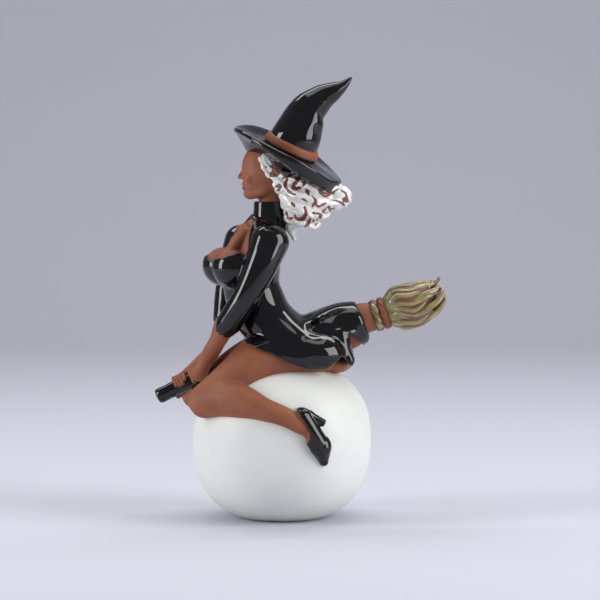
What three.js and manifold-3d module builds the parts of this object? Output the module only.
// A glazed terracotta witch who rides a broom on a ball, as made for the ridge of a roof.
// The figure is luted together from separately moulded pieces. It faces -X, its left side is
// towards -Y, +Z is up, and the origin is the middle of the ball's flat foot. Millimetres.

import * as THREE from "three";
import { mergeVertices } from "three/addons/utils/BufferGeometryUtils.js";
import Module from "manifold-3d";

const wasm = await Module();
wasm.setup();

// ---------------------------------------------------------------------------------------------
// Driving dimensions
// ---------------------------------------------------------------------------------------------

const GAP = 0.3; // luting gap left between two touching pieces
const SLIVER = 0.1; // detail smaller than this is not kept where two pieces are trimmed

const BALL = {
  radius: 71.3,
  widestHeight: 65,
  topHeight: 126,
  footRadius: 30,
  squareness: 2.3, // of the upper half: 2 is an ellipse, more is squarer
  lowerSquareness: 2.6,
  wall: 7,
  coreDetail: 1.2, // the hollow is only pinched to shape, so it holds no finer detail
  ventRadius: 4,
  ventOffset: 20,
};

// Half widths are across the figure and half depths are square to them.
const PELVIS = {
  waistWide: 24,
  waistDeep: 20.5,
  hipWide: 34,
  hipDeep: 19,
  seatWide: 33,
  seatDeep: 18,
  padWide: 28, // the pad of clay that she sits on, under the back of the skirt
  padDeep: 13,
};
const TORSO = {
  turn: 18, // how far the chest is turned towards her left, in degrees
  ribWide: 25,
  ribDeep: 20,
  chestWide: 29,
  chestDeep: 20,
  shoulderWide: 26,
  shoulderDeep: 16,
  neckRoot: 12,
  bustRadius: 14.5,
  bustReach: 20,
  bustSpread: 13.5,
};
const CORE = { throat: 8, hipWide: 22, hipDeep: 13, waist: 9, chestWide: 17, chestDeep: 10 };
const LEG = {
  hip: 21,
  thigh: 19.5,
  lowerThigh: 17,
  knee: 13.5,
  calf: 14.2,
  shin: 8.8,
  ankle: 7.6,
  instep: 6.4,
  ball: 6.2,
  toe: 3,
};
const SHOE = { thickness: 2, heelRadius: 3.2, heelTip: 2.3, heelLength: 16, toplineDrop: 3.8 };
const ARM = { wrist: 5.8, forearm: 7.2, palm: 5.6, finger: 2.2, fingerPitch: 2.9 };
const SLEEVE = { shoulder: 13.6, upper: 12.4, elbow: 10.2, cuff: 9, cuffDeep: 10 };
const DRESS = { thickness: 2, flare: 24 };
// Half widths of the neckline at the collar, at the armholes and over the bust, with their heights.
const NECKLINE = { collar: 13, collarUp: 29, armhole: 20.5, armholeUp: 15, bust: 23.5, bustUp: 3, dip: 3 };
const COLLAR = { height: 18.5, topRadius: 12.2, bottomRadius: 13.6 };
const HEAD = {
  skullLong: 22,
  skullWide: 18,
  skullHigh: 23,
  jawLong: 14,
  jawWide: 12.5,
  jawHigh: 15,
  neck: 9.6,
};
const HAT = {
  tilt: 24.6, // the front of the brim is higher, in degrees
  lean: 7, // the hat leans towards her left, in degrees
  brimRadius: 48,
  brimEdge: 2.2,
  brimRise: 7,
  brimDrop: 13,
  brimRoll: 6, // how much thicker the brim is at the back, where its edge is turned down
  brimCurl: 7, // how far the brim is lifted at the front on her right
  brimLift: 7.5, // how far it is turned up at her left side
  crownRadius: 21,
  crownTip: 1.2,
  bandHeight: 7,
  bandThickness: 1.6,
};
const BROOM = {
  handleRadius: 6.3,
  handleLength: 48,
  handleSlope: 26,
  capFlare: 19,
  capRadius: 11,
  ringRadius: 12,
  ringSection: 2.4,
  brushSlope: 19,
  brushRadius: 16.5,
  lockRadius: 4.4,
  locks: 7,
};

const COLOURS = {
  clay: { color: 0x965541, roughness: 0.72, metalness: 0 },
  black: { color: 0x0b0b0c, roughness: 0.12, metalness: 0 },
  white: { color: 0xe6e8e0, roughness: 0.55, metalness: 0 },
  hair: { color: 0xf1f2ec, roughness: 0.25, metalness: 0 },
  straw: { color: 0xb5a956, roughness: 0.35, metalness: 0 },
};

// ---------------------------------------------------------------------------------------------
// Shape helpers
// ---------------------------------------------------------------------------------------------

const LATHE_AXIS = new THREE.Vector3(0, 1, 0);
const ACROSS = new THREE.Vector3(0, 1, 0); // towards her right
const SKY = new THREE.Vector3(0, 0, 1);
const SEAT = new THREE.Vector3(0, 0, BALL.topHeight);
const radians = THREE.MathUtils.degToRad;

// A point given from the top of the ball.
const at = (x, y, z) => new THREE.Vector3(x, y, z).add(SEAT);

// A closed three.js geometry as a manifold-3d solid.
function solid(geometry) {
  const bare = geometry.clone();
  bare.deleteAttribute("normal");
  bare.deleteAttribute("uv");
  const merged = mergeVertices(bare, 1e-4);
  const corners = merged.index.array;
  const triVerts = [];
  for (let i = 0; i < corners.length; i += 3) {
    const [a, b, c] = [corners[i], corners[i + 1], corners[i + 2]];
    if (a !== b && b !== c && c !== a) triVerts.push(a, b, c);
  }
  return new wasm.Manifold(
    new wasm.Mesh({
      numProp: 3,
      vertProperties: merged.attributes.position.array,
      triVerts: new Uint32Array(triVerts),
    }),
  );
}

// A manifold-3d solid as a three.js geometry, given from a group's origin.
function geometryOf(body, origin) {
  const { numProp, numVert, vertProperties, triVerts } = body.getMesh();
  const positions = new Float32Array(numVert * 3);
  for (let i = 0; i < numVert; i++) {
    positions[3 * i] = vertProperties[numProp * i] - origin.x;
    positions[3 * i + 1] = vertProperties[numProp * i + 1] - origin.y;
    positions[3 * i + 2] = vertProperties[numProp * i + 2] - origin.z;
  }
  const geometry = new THREE.BufferGeometry();
  geometry.setAttribute("position", new THREE.BufferAttribute(positions, 3));
  geometry.setIndex(new THREE.BufferAttribute(triVerts, 1));
  geometry.computeVertexNormals();
  return geometry;
}

const joined = (...bodies) => bodies.reduce((whole, body) => whole.add(body));

// One station of a limb: a point of its spine, its half width, its half depth and its turn.
const station = (point, wide, deep = wide, turn = 0) => ({ point, wide, deep, turn });

// A rounded limb: a capsule bent along its stations. How far its two ends bulge is set by ends.
function limb(stations, grow = 0, { sides = 12, rows = 2, capRows = 2, ends = [1, 1] } = {}) {
  const spine = new THREE.CatmullRomCurve3(stations.map((s) => s.point), false, "centripetal");
  const girth = new THREE.CatmullRomCurve3(
    stations.map((s) => new THREE.Vector3(s.wide, s.deep, radians(s.turn))),
  );
  const geometry = new THREE.CapsuleGeometry(1, 2, capRows, sides, rows * (stations.length - 1));
  const points = geometry.attributes.position;
  const p = new THREE.Vector3();
  for (let i = 0; i < points.count; i++) {
    p.fromBufferAttribute(points, i);
    const middle = THREE.MathUtils.clamp(p.y, -1, 1);
    const along = (middle + 1) / 2;
    const { x: wide, y: deep, z: turn } = girth.getPoint(along);
    const tangent = spine.getTangent(along);
    const side = ACROSS.clone().addScaledVector(tangent, -ACROSS.dot(tangent)).normalize();
    side.applyAxisAngle(tangent, turn);
    const square = new THREE.Vector3().crossVectors(side, tangent);
    const bulge = p.y < 0 ? ends[0] : ends[1];
    const past = (p.y - middle) * (Math.min(wide, deep) * bulge + grow);
    const q = spine
      .getPoint(along)
      .addScaledVector(tangent, past)
      .addScaledVector(side, p.x * (wide + grow))
      .addScaledVector(square, p.z * (deep + grow));
    points.setXYZ(i, q.x, q.y, q.z);
  }
  return solid(geometry);
}

// An ellipsoid with its axes along X, Y and Z.
function lobe(centre, long, wide, high, grow = 0, sides = 12, rows = 8) {
  const geometry = new THREE.SphereGeometry(1, sides, rows);
  geometry.scale(long + grow, wide + grow, high + grow);
  geometry.translate(centre.x, centre.y, centre.z);
  return solid(geometry);
}

// A turned body. The profile is [radius, height] from the bottom of the axis to its top.
function turned(profile, origin, axis, sides = 36) {
  const geometry = new THREE.LatheGeometry(
    profile.map(([radius, height]) => new THREE.Vector2(radius, height)),
    sides,
  );
  geometry.applyQuaternion(new THREE.Quaternion().setFromUnitVectors(LATHE_AXIS, axis));
  geometry.translate(origin.x, origin.y, origin.z);
  return solid(geometry);
}

// The biggest piece of a body, without the offcuts and slivers that trimming leaves.
function mainPiece(body) {
  const whole = body.asOriginal().simplify(SLIVER);
  return whole.decompose().reduce((best, next) => (next.volume() > best.volume() ? next : best));
}

// ---------------------------------------------------------------------------------------------
// Ball
// ---------------------------------------------------------------------------------------------

const ballLowerHalf = BALL.widestHeight
  / (1 - (BALL.footRadius / BALL.radius) ** BALL.lowerSquareness) ** (1 / BALL.lowerSquareness);

// The ball's radius at a height above the foot.
function ballRadius(height) {
  const rise = height - BALL.widestHeight;
  const half = rise > 0 ? BALL.topHeight - BALL.widestHeight : ballLowerHalf;
  const power = rise > 0 ? BALL.squareness : BALL.lowerSquareness;
  const share = Math.min(1, Math.abs(rise) / half) ** power;
  return BALL.radius * (1 - share) ** (1 / power);
}

// A point beside the ball, by its angle from the front, its height and how far it stands out.
function onBall(side, angle, height, out) {
  const radius = ballRadius(height) + out;
  return new THREE.Vector3(
    -radius * Math.cos(radians(angle)),
    side * radius * Math.sin(radians(angle)),
    height,
  );
}

function ballProfile(inset, rings) {
  const profile = [[0, inset]];
  for (let i = 0; i <= rings; i++) {
    const height = inset + (1 - Math.cos((Math.PI * i) / rings)) / 2 * (BALL.topHeight - 2 * inset);
    const radius = ballRadius(height) - inset;
    if (i < rings) profile.push([radius, height]);
  }
  profile.push([0, BALL.topHeight - inset]);
  return profile;
}

const ballOuter = () => turned(ballProfile(0, 13), new THREE.Vector3(), SKY, 32);
const ballInner = () =>
  turned(ballProfile(BALL.wall, 8), new THREE.Vector3(), SKY, 16);

function ballVent() {
  const geometry = new THREE.CylinderGeometry(BALL.ventRadius, BALL.ventRadius, 3 * BALL.wall, 12);
  geometry.rotateX(Math.PI / 2);
  geometry.translate(BALL.ventOffset, 0, 0);
  return solid(geometry);
}

// ---------------------------------------------------------------------------------------------
// Body
// ---------------------------------------------------------------------------------------------

const WAIST = at(-23, 0, 50);
const HIPS = at(9, 0, 14);
const CHEST = at(-24, 0, 82);
const NECK_ROOT = at(-12, 0, 110);
const HEAD_CENTRE = at(-11, 0, 153);
const COLLAR_FOOT = at(-10.5, 0, 108);

// Unit vectors of the turned chest: forwards, and towards her right.
const forward = new THREE.Vector3(-1, 0, 0).applyAxisAngle(SKY, radians(TORSO.turn));
const rightward = new THREE.Vector3(0, 1, 0).applyAxisAngle(SKY, radians(TORSO.turn));

// A point of the chest, by how far it is forwards, to her right and up.
const onChest = (ahead, right, up) =>
  CHEST.clone().addScaledVector(forward, ahead).addScaledVector(rightward, right).addScaledVector(SKY, up);

const pelvis = (grow) =>
  limb(
    [
      station(WAIST.clone(), PELVIS.waistWide, PELVIS.waistDeep),
      station(
        at(-12, 0, 30),
        (PELVIS.waistWide + PELVIS.hipWide) / 2,
        (PELVIS.waistDeep + PELVIS.hipDeep) / 2,
      ),
      station(HIPS.clone(), PELVIS.hipWide, PELVIS.hipDeep),
      station(at(27, 0, 8), PELVIS.seatWide, PELVIS.seatDeep),
      station(at(38, 0, 1), PELVIS.padWide, PELVIS.padDeep),
    ],
    grow,
    { sides: 16, ends: [0.6, 0.6] },
  );

function torso(grow) {
  const trunk = limb(
    [
      station(at(-23, 0, 51), PELVIS.waistWide, PELVIS.waistDeep),
      station(at(-25, 0, 65), TORSO.ribWide, TORSO.ribDeep, TORSO.turn),
      station(CHEST.clone(), TORSO.chestWide, TORSO.chestDeep, TORSO.turn),
      station(at(-19, 0, 98), TORSO.shoulderWide, TORSO.shoulderDeep, TORSO.turn),
      station(NECK_ROOT.clone(), TORSO.neckRoot),
    ],
    grow,
    { sides: 14, ends: [0.3, 0.3] },
  );
  const bust = [-1, 1].map((side) => {
    const centre = onChest(TORSO.bustReach, side * TORSO.bustSpread, -6);
    return lobe(centre, TORSO.bustRadius, TORSO.bustRadius, TORSO.bustRadius, grow, 14, 9);
  });
  const slope = limb(
    [station(onChest(3, 0, 19), 15, 9, TORSO.turn), station(onChest(14, 0, 3), 21, 9, TORSO.turn)],
    grow,
    { sides: 12, rows: 1 },
  );
  return joined(trunk, slope, ...bust);
}

const firingCore = () =>
  limb(
    [
      station(at(17, 0, -1.6 * BALL.wall), CORE.throat),
      station(at(17, 0, -2), CORE.throat),
      station(HIPS.clone(), CORE.hipWide, CORE.hipDeep),
      station(at(-12, 0, 34), CORE.waist),
      station(at(-24, 0, 56), CORE.waist),
      station(CHEST.clone(), CORE.chestWide, CORE.chestDeep, TORSO.turn),
    ],
    0,
    { sides: 10 },
  );

function head(grow) {
  const skull = lobe(HEAD_CENTRE, HEAD.skullLong, HEAD.skullWide, HEAD.skullHigh, grow, 16, 11);
  const jaw = lobe(at(-18, 0, 143), HEAD.jawLong, HEAD.jawWide, HEAD.jawHigh, grow, 14, 9);
  const neck = limb([station(COLLAR_FOOT, HEAD.neck + 0.6), station(at(-8, 0, 138), HEAD.neck)], grow, {
    rows: 2,
  });
  const nose = limb(
    [station(at(-31, 0, 151), 1.6), station(at(-34, 0, 145), 2.4, 2)],
    grow,
    { sides: 8, rows: 1 },
  );
  return joined(skull, jaw, neck, nose);
}

// ---------------------------------------------------------------------------------------------
// Legs and shoes. side is -1 for her left and +1 for her right.
// ---------------------------------------------------------------------------------------------

const LEFT = { side: -1, kneeAngle: 32, kneeOut: 7.5, calfAngle: 53, calfOut: 2 };
const RIGHT = { side: 1, kneeAngle: 23, kneeOut: 11, calfAngle: 48, calfOut: 4 };
const KNEE_HEIGHT = BALL.topHeight - 29;
const CALF_HEIGHT = BALL.topHeight - 26;
const SHIN_HEIGHT = BALL.topHeight - 33;
const ANKLE_HEIGHT = BALL.topHeight - 39;
const HEEL_HEIGHT = BALL.topHeight - 39.5;
const INSTEP_HEIGHT = BALL.topHeight - 51;
const BALL_OF_FOOT_HEIGHT = BALL.topHeight - 63;
const TOE_HEIGHT = BALL.topHeight - 75;

const thighMiddle = (leg) => at(-16, 25 * leg.side, 1);
const knee = (leg) => onBall(leg.side, leg.kneeAngle, KNEE_HEIGHT, leg.kneeOut);
const ankle = (leg) => onBall(leg.side, 94, ANKLE_HEIGHT, 1);
const heelOf = (leg) => onBall(leg.side, 103, HEEL_HEIGHT, 1);
const toe = (leg) => onBall(leg.side, 118, TOE_HEIGHT, 1);

const footStations = (leg) => [
  station(heelOf(leg), LEG.ankle * 0.95),
  station(onBall(leg.side, 109, INSTEP_HEIGHT, 1), LEG.instep),
  station(onBall(leg.side, 115, BALL_OF_FOOT_HEIGHT, 1), LEG.ball),
  station(toe(leg), LEG.toe),
];

const thigh = (leg, grow) =>
  limb(
    [
      station(at(20, 15 * leg.side, 8), LEG.hip),
      station(thighMiddle(leg), LEG.thigh),
      station(knee(leg).lerp(thighMiddle(leg), 0.42), LEG.lowerThigh),
      station(knee(leg), LEG.knee),
    ],
    grow,
  );

const shank = (leg, grow) =>
  limb(
    [
      station(knee(leg), LEG.knee * 0.97),
      station(onBall(leg.side, leg.calfAngle, CALF_HEIGHT, leg.calfOut), LEG.calf),
      station(onBall(leg.side, 79, SHIN_HEIGHT, 0.5), LEG.shin),
      station(ankle(leg), LEG.ankle),
    ],
    grow,
  );

const foot = (leg, grow) => limb(footStations(leg), grow, { sides: 10 });
const wholeLeg = (leg) => (grow) => joined(thigh(leg, grow), shank(leg, grow), foot(leg, grow));

// The side of the foot that the instep shows: what the shoe leaves bare.
function instepCut(leg) {
  const size = 60;
  const geometry = new THREE.BoxGeometry(size, size, size);
  const sole = soleDirection(leg);
  const top = toe(leg).add(new THREE.Vector3(0, 0, LEG.toe));
  geometry.applyQuaternion(new THREE.Quaternion().setFromUnitVectors(new THREE.Vector3(1, 0, 0), sole));
  const centre = top.addScaledVector(sole, -size / 2 - SHOE.toplineDrop);
  centre.addScaledVector(footLine(leg), -size / 2);
  geometry.translate(centre.x, centre.y, centre.z);
  return solid(geometry);
}

// Which way the foot points, from its heel to its toe.
const footLine = (leg) => toe(leg).sub(heelOf(leg)).normalize();

// Which way the sole faces: backwards and a little up, square to the line from ankle to toe.
function soleDirection(leg) {
  const along = footLine(leg);
  const back = new THREE.Vector3(1, 0, 0);
  return back.addScaledVector(along, -back.dot(along)).normalize();
}

const shoe = (leg) => (grow) =>
  limb(footStations(leg), grow + SHOE.thickness, { sides: 10 }).subtract(instepCut(leg));

function heel(leg) {
  const sole = soleDirection(leg);
  const root = heelOf(leg).addScaledVector(sole, LEG.ankle * 0.8);
  const down = footLine(leg).lerp(sole, 0.42).normalize();
  const tip = root.clone().addScaledVector(down, SHOE.heelLength);
  return (grow) =>
    limb([station(root, SHOE.heelRadius), station(tip, SHOE.heelTip)], grow, {
      sides: 10,
      rows: 2,
      ends: [0.5, 0.5],
    });
}

// ---------------------------------------------------------------------------------------------
// Broom
// ---------------------------------------------------------------------------------------------

// The way something points that rises towards the back at a slope.
const upslope = (slope) => new THREE.Vector3(Math.cos(radians(slope)), 0, Math.sin(radians(slope)));

const HANDLE_END = at(-99, 0, -29);
const handleAxis = upslope(BROOM.handleSlope);
const onHandle = (distance) => HANDLE_END.clone().addScaledVector(handleAxis, distance);
const CAP_END = at(74, 0, 35.5);
const brushAxis = upslope(BROOM.brushSlope);
const onBrush = (distance, out = 0, angle = 0) => {
  const lift = new THREE.Vector3(-brushAxis.z, 0, brushAxis.x);
  return CAP_END.clone()
    .addScaledVector(brushAxis, distance)
    .addScaledVector(lift, out * Math.cos(angle))
    .addScaledVector(ACROSS, out * Math.sin(angle));
};

const handle = (grow) =>
  limb(
    [station(onHandle(0), BROOM.handleRadius), station(onHandle(BROOM.handleLength), BROOM.handleRadius)],
    grow,
    { sides: 16, rows: 1, ends: [0.25, 0.25] },
  );

const strawCap = (grow) =>
  limb(
    [
      station(at(40, 0, 24), BROOM.capFlare),
      station(at(53, 0, 27), BROOM.capFlare - 1),
      station(at(63, 0, 33), BROOM.capRadius + 2),
      station(onBrush(0), BROOM.capRadius),
      station(onBrush(11), BROOM.capRadius - 1),
    ],
    grow,
    { sides: 14, ends: [0.3, 0.3] },
  );

const bindingRing = (distance) => (grow) => {
  const half = BROOM.ringSection + grow;
  const middle = BROOM.ringRadius - BROOM.ringSection * 0.4;
  const profile = [[0, -half * 0.6]];
  for (let i = 1; i < 6; i++) {
    const turn = radians(-90 + i * 30);
    profile.push([middle + half * Math.cos(turn), half * Math.sin(turn)]);
  }
  profile.push([0, half * 0.6]);
  return turned(profile, onBrush(distance), brushAxis, 24);
};

const brushCore = (grow) =>
  limb(
    [
      station(onBrush(12), BROOM.capRadius - 1),
      station(onBrush(19), BROOM.brushRadius * 0.86),
      station(onBrush(34), BROOM.brushRadius * 0.9),
      station(onBrush(46), BROOM.brushRadius * 0.5),
    ],
    grow,
  );

const strawLock = (index) => (grow) => {
  const angle = (2 * Math.PI * index) / BROOM.locks;
  const reach = index % 2 ? 53 : 57;
  const path = [
    [11.5, BROOM.capRadius - 2, 3.2],
    [21, BROOM.brushRadius - 3, BROOM.lockRadius],
    [38, BROOM.brushRadius - 1.6, BROOM.lockRadius],
    [reach, BROOM.brushRadius * 0.5, 1.4],
  ];
  return limb(
    path.map(([distance, out, thick]) => station(onBrush(distance, out, angle), thick)),
    grow,
    { sides: 8, rows: 2, capRows: 1 },
  );
};

// ---------------------------------------------------------------------------------------------
// Arms and hands
// ---------------------------------------------------------------------------------------------

const ARMS = {
  left: {
    shoulder: at(-7.5, -29, 96),
    upper: at(-17, -36, 77),
    elbow: at(-28, -38, 55),
    cuff: at(-43, -29, 30),
    forearm: at(-56, -20, 9),
    grip: 36,
    side: -1,
  },
  right: {
    shoulder: at(-32, 29, 95),
    upper: at(-38, 36, 77),
    elbow: at(-44, 38, 54),
    cuff: at(-46, 28, 30),
    forearm: at(-55, 18, 8),
    grip: 21.5,
    side: 1,
  },
};

// A finger that goes round the broom handle.
function finger(arm, distance, grow) {
  const lift = new THREE.Vector3(-handleAxis.z, 0, handleAxis.x);
  const around = BROOM.handleRadius + ARM.finger * 0.8;
  const stations = [];
  for (let i = 0; i < 4; i++) {
    const angle = radians(95 - i * 58) * arm.side;
    const point = onHandle(distance)
      .addScaledVector(lift, around * Math.cos(angle))
      .addScaledVector(ACROSS, around * Math.sin(angle));
    stations.push(station(point, ARM.finger));
  }
  return limb(stations, grow, { sides: 6, rows: 1, capRows: 1 });
}

const hand = (arm) => (grow) => {
  const palm = onHandle(arm.grip);
  palm.y = arm.side * (BROOM.handleRadius + ARM.palm * 0.55);
  palm.z += 2;
  const fingers = [-1.5, -0.5, 0.5, 1.5].map((k) => finger(arm, arm.grip + k * ARM.fingerPitch, grow));
  const wrist = palm.clone().lerp(arm.forearm, 0.45);
  return joined(
    limb(
      [
        station(arm.cuff.clone().lerp(arm.elbow, 0.35), ARM.forearm),
        station(arm.forearm, ARM.forearm * 0.9),
        station(wrist, ARM.wrist),
        station(palm, ARM.palm * 0.8, ARM.palm * 1.2),
      ],
      grow,
      { sides: 10 },
    ),
    ...fingers,
  );
};

const sleeve = (arm) => (grow) =>
  limb(
    [
      station(arm.shoulder, SLEEVE.shoulder),
      station(arm.upper, SLEEVE.upper),
      station(arm.elbow, SLEEVE.elbow),
      station(arm.cuff, SLEEVE.cuff, SLEEVE.cuffDeep),
    ],
    grow,
    { ends: [0.85, 0.12] },
  );

// ---------------------------------------------------------------------------------------------
// Dress
// ---------------------------------------------------------------------------------------------

// What the neckline leaves bare: from the collar down to the bust.
function necklineCut() {
  const { collar, collarUp, armhole, armholeUp, bust, bustUp, dip } = NECKLINE;
  const shape = new THREE.Shape();
  shape.moveTo(-collar, 2 * collarUp);
  shape.lineTo(-collar, collarUp);
  shape.lineTo(-armhole, armholeUp);
  shape.quadraticCurveTo(-bust, bustUp + 4, -bust, bustUp);
  shape.quadraticCurveTo(-bust / 2, bustUp - 2, 0, -dip);
  shape.quadraticCurveTo(bust / 2, bustUp - 2, bust, bustUp);
  shape.quadraticCurveTo(bust, bustUp + 4, armhole, armholeUp);
  shape.lineTo(collar, collarUp);
  shape.lineTo(collar, 2 * collarUp);
  const geometry = new THREE.ExtrudeGeometry(shape, { depth: 60, bevelEnabled: false, curveSegments: 4 });
  // Local X runs to her left, Y up and Z forwards.
  const basis = new THREE.Matrix4().makeBasis(rightward.clone().negate(), SKY, forward);
  const origin = onChest(2, 0, 0);
  geometry.applyMatrix4(basis);
  geometry.translate(origin.x, origin.y, origin.z);
  return solid(geometry);
}

const bodice = (grow) => {
  const outer = torso(grow + DRESS.thickness);
  return outer.subtract(necklineCut());
};

const collar = (grow) => {
  return turned(
    [
      [0, -4 - grow],
      [COLLAR.bottomRadius + grow, -4 - grow],
      [COLLAR.bottomRadius + grow, 0],
      [COLLAR.topRadius + grow, COLLAR.height * 0.5],
      [COLLAR.topRadius + grow, COLLAR.height + grow],
      [0, COLLAR.height + grow],
    ],
    COLLAR_FOOT,
    SKY,
    22,
  );
};

// The skirt hangs over the hips and runs out in a tail over the broom.
function skirt(grow) {
  const bell = limb(
    [
      station(at(-23, 0, 53), PELVIS.waistWide + DRESS.thickness, PELVIS.waistDeep + DRESS.thickness),
      station(at(-12, 0, 31), PELVIS.hipWide, PELVIS.hipDeep + 3.5),
      station(at(9, 0, 13), PELVIS.hipWide + 9, PELVIS.hipDeep + 4),
      station(at(24, 0, 9), PELVIS.hipWide + 7, PELVIS.hipDeep + 3),
    ],
    grow,
    { sides: 16, ends: [0.4, 0.4] },
  );
  const tail = limb(
    [
      station(at(16, 0, 16), PELVIS.hipWide, PELVIS.hipDeep),
      station(at(38, 0, 21), 29, 22),
      station(at(54, 0, 28), 23, 20),
      station(at(64, 0, 32), 19, 17),
    ],
    grow,
    { sides: 16, ends: [0.12, 0.12] },
  );
  const flares = [LEFT, RIGHT].flatMap((leg) => [
    thigh(leg, grow + DRESS.thickness + GAP),
    lobe(at(16, 22 * leg.side, 7), 36, DRESS.flare, 19, grow),
    limb([station(at(47, 20 * leg.side, 20), 7, 5), station(at(54, 24 * leg.side, 1), 6, 4)], grow, {
      sides: 10,
      rows: 1,
    }),
  ]);
  return joined(bell, tail, ...flares).subtract(hemCut(grow));
}

// Everything below the hem, seen from the side: it starts lower on a skirt that is grown.
function hemCut(grow) {
  const front = [
    [-30, 17.5],
    [-20, 13.5],
    [-7, 8.7],
    [6.5, 2],
    [20, -3.3],
    [33, -4],
    [40, -0.7],
    [47.8, 6.2],
  ];
  const notch = [
    [55.5, -4.5],
    [58, 2],
    [56.5, 11],
    [52, 24],
    [60, 19],
    [65, 12],
    [68, 12.5],
    [70.5, 20],
    [90, 24],
  ];
  const shape = new THREE.Shape();
  shape.moveTo(-60, -60);
  shape.lineTo(-60, 18);
  shape.lineTo(...front[0]);
  shape.splineThru(front.slice(1).map(([x, z]) => new THREE.Vector2(x, z)));
  for (const [x, z] of notch) shape.lineTo(x, z);
  shape.lineTo(90, -60);
  const depth = 160;
  const geometry = new THREE.ExtrudeGeometry(shape, { depth, bevelEnabled: false, curveSegments: 14 });
  geometry.rotateX(Math.PI / 2);
  geometry.translate(SEAT.x, depth / 2, SEAT.z - grow);
  return solid(geometry);
}

// ---------------------------------------------------------------------------------------------
// Hair and hat
// ---------------------------------------------------------------------------------------------

const hair = (grow) =>
  joined(
    lobe(at(12, 0, 144), 26, 25, 15, grow),
    lobe(at(20, 0, 131), 24, 26, 19, grow),
    lobe(at(43, 0, 131), 13, 15, 10, grow, 12, 8),
    lobe(at(15, 0, 116), 15, 19, 10, grow, 12, 8),
  );

const sideCurl = (side) => (grow) =>
  limb(
    [
      station(at(-6, side * 17.5, 158), 3, 6),
      station(at(-3, side * 19, 150), 4, 7),
      station(at(3, side * 21, 140), 4, 6),
    ],
    grow,
    { sides: 10, rows: 2 },
  );

const napeCurl = (grow) =>
  limb([station(at(8, -4, 110), 5), station(at(8, -8, 102), 3), station(at(10, -9, 98), 1.6)], grow, {
    sides: 8,
    rows: 2,
  });

const HAT_CENTRE = at(3.6, 0, 162);
const hatAxis = new THREE.Vector3(
  Math.sin(radians(HAT.tilt)) * Math.cos(radians(HAT.lean)),
  -Math.sin(radians(HAT.lean)),
  Math.cos(radians(HAT.tilt)) * Math.cos(radians(HAT.lean)),
);
const onHat = (distance) => HAT_CENTRE.clone().addScaledVector(hatAxis, distance);

// The brim is turned, then lifted at its front on her right and at her left side, and thickened
// at the back.
function brim(grow) {
  const geometry = new THREE.LatheGeometry(
    [
      [0, -HAT.brimDrop - grow],
      [HAT.crownRadius - 1, -HAT.brimDrop - grow],
      [HAT.brimRadius * 0.72, -HAT.brimDrop * 0.55 - grow],
      [HAT.brimRadius - HAT.brimEdge, -HAT.brimEdge - grow],
      [HAT.brimRadius + grow, 0],
      [HAT.brimRadius - HAT.brimEdge, HAT.brimEdge + grow],
      [HAT.brimRadius * 0.72, HAT.brimRise * 0.5 + grow],
      [HAT.crownRadius + 1, HAT.brimRise + grow],
      [0, HAT.brimRise + grow],
    ].map(([radius, height]) => new THREE.Vector2(radius, height)),
    32,
  );
  const points = geometry.attributes.position;
  for (let i = 0; i < points.count; i++) {
    const [x, y, z] = [points.getX(i), points.getY(i), points.getZ(i)];
    const out = Math.hypot(x, z) / HAT.brimRadius;
    const rim = THREE.MathUtils.smoothstep(out, 0.4, 0.95);
    const back = THREE.MathUtils.smoothstep(x / HAT.brimRadius, -0.2, 0.9);
    const farFront = THREE.MathUtils.smoothstep((-0.7 * x - 0.7 * z) / HAT.brimRadius, 0.1, 1);
    const near = THREE.MathUtils.smoothstep(z / HAT.brimRadius, 0, 0.95);
    const roll = y < 0 ? HAT.brimRoll * back : 0;
    points.setY(i, y + rim * (HAT.brimCurl * farFront + HAT.brimLift * near - roll));
  }
  geometry.applyQuaternion(new THREE.Quaternion().setFromUnitVectors(LATHE_AXIS, hatAxis));
  geometry.translate(HAT_CENTRE.x, HAT_CENTRE.y, HAT_CENTRE.z);
  return solid(geometry);
}

const crown = (grow) =>
  limb(
    [
      station(onHat(HAT.brimRise - 1), HAT.crownRadius),
      station(onHat(HAT.brimRise + 10), HAT.crownRadius - 1),
      station(at(17, -2.5, 192), 17.2),
      station(at(22.5, -3, 201.5), 14.4),
      station(at(31.5, -3.5, 209.5), 10.9),
      station(at(41.2, -4, 215.4), 7.6),
      station(at(48.5, -4, 219.8), 4.3),
      station(at(54.7, -4, 225.3), HAT.crownTip),
    ],
    grow,
    { sides: 16, ends: [0.02, 1] },
  );

const hatBand = (grow) => {
  const radius = HAT.crownRadius + HAT.bandThickness + grow;
  return turned(
    [
      [0, -grow],
      [radius + 0.4, -grow],
      [radius + 0.4, 1],
      [radius - 1, HAT.bandHeight + grow],
      [0, HAT.bandHeight + grow],
    ],
    onHat(HAT.brimRise + 0.6),
    hatAxis,
    24,
  );
};

// ---------------------------------------------------------------------------------------------
// Pieces, in the order in which they are luted: each is trimmed to clear those before it
// ---------------------------------------------------------------------------------------------

const groups = {
  lower: HIPS,
  upper: CHEST,
  head: HEAD_CENTRE,
  hat: HAT_CENTRE,
  broom: CAP_END,
  ball: new THREE.Vector3(),
};

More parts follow.
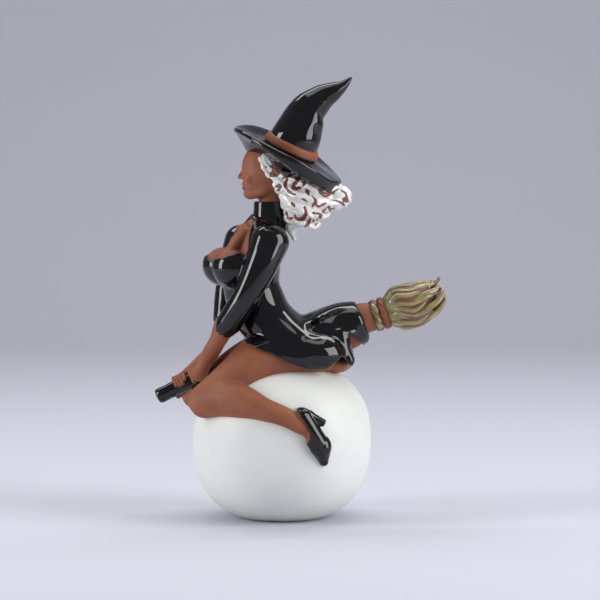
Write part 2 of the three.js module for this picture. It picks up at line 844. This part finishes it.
const pieces = [
  { name: "pelvis", group: "lower", look: "clay", shape: pelvis, core: true },
  { name: "torso", group: "upper", look: "clay", shape: torso, core: true },
  { name: "head", group: "head", look: "clay", shape: head },
  { name: "left_leg", group: "lower", look: "clay", shape: wholeLeg(LEFT) },
  { name: "right_leg", group: "lower", look: "clay", shape: wholeLeg(RIGHT) },
  { name: "broom_handle", group: "broom", look: "black", shape: handle },
  { name: "broom_straw_cap", group: "broom", look: "clay", shape: strawCap },
  { name: "broom_front_binding", group: "broom", look: "straw", shape: bindingRing(1.5) },
  { name: "broom_rear_binding", group: "broom", look: "clay", shape: bindingRing(8) },
  { name: "brush_core", group: "broom", look: "clay", shape: brushCore },
  ...Array.from({ length: BROOM.locks }, (_, i) => ({
    name: `straw_lock_${i + 1}`,
    group: "broom",
    look: "straw",
    shape: strawLock(i),
  })),
  { name: "left_hand", group: "upper", look: "clay", shape: hand(ARMS.left) },
  { name: "right_hand", group: "upper", look: "clay", shape: hand(ARMS.right) },
  { name: "left_shoe", group: "lower", look: "black", shape: shoe(LEFT) },
  { name: "right_shoe", group: "lower", look: "black", shape: shoe(RIGHT) },
  { name: "left_shoe_heel", group: "lower", look: "black", shape: heel(LEFT) },
  { name: "right_shoe_heel", group: "lower", look: "black", shape: heel(RIGHT) },
  { name: "collar", group: "upper", look: "black", shape: collar },
  { name: "bodice", group: "upper", look: "black", shape: bodice },
  { name: "left_sleeve", group: "upper", look: "black", shape: sleeve(ARMS.left) },
  { name: "right_sleeve", group: "upper", look: "black", shape: sleeve(ARMS.right) },
  { name: "skirt", group: "lower", look: "black", shape: skirt },
  { name: "hair", group: "head", look: "hair", shape: hair },
  { name: "left_side_curl", group: "head", look: "hair", shape: sideCurl(-1) },
  { name: "right_side_curl", group: "head", look: "hair", shape: sideCurl(1) },
  { name: "nape_curl", group: "head", look: "hair", shape: napeCurl },
  { name: "hat_brim", group: "hat", look: "black", shape: brim },
  { name: "hat_crown", group: "hat", look: "black", shape: crown },
  { name: "hat_band", group: "hat", look: "clay", shape: hatBand },
];

const figure = new THREE.Group();
const assemblies = {};
for (const [name, origin] of Object.entries(groups)) {
  assemblies[name] = new THREE.Group();
  assemblies[name].position.copy(origin);
  figure.add(assemblies[name]);
}

function addPiece(name, group, look, body) {
  const mesh = new THREE.Mesh(geometryOf(body, groups[group]), new THREE.MeshStandardMaterial(COLOURS[look]));
  mesh.name = name;
  assemblies[group].add(mesh);
}

const core = firingCore();
const cleared = [];
for (const { name, group, look, shape, core: hollow } of pieces) {
  let body = shape(0);
  for (const other of cleared) body = body.subtract(other);
  if (hollow) body = body.subtract(core);
  addPiece(name, group, look, mainPiece(body));
  cleared.push(shape(GAP));
}

// The ball is pressed round the legs and the seat, so its wall follows them.
const bedded = pieces.filter(({ name }) => /pelvis|leg|shoe/.test(name));
let hollow = ballInner();
for (const { shape } of bedded) hollow = hollow.subtract(shape(GAP + BALL.wall));
hollow = hollow.asOriginal().simplify(BALL.coreDetail);
let ball = ballOuter().subtract(hollow).subtract(core).subtract(ballVent());
for (const other of cleared) ball = ball.subtract(other);
addPiece("ball", "ball", "white", mainPiece(ball));

export default figure;
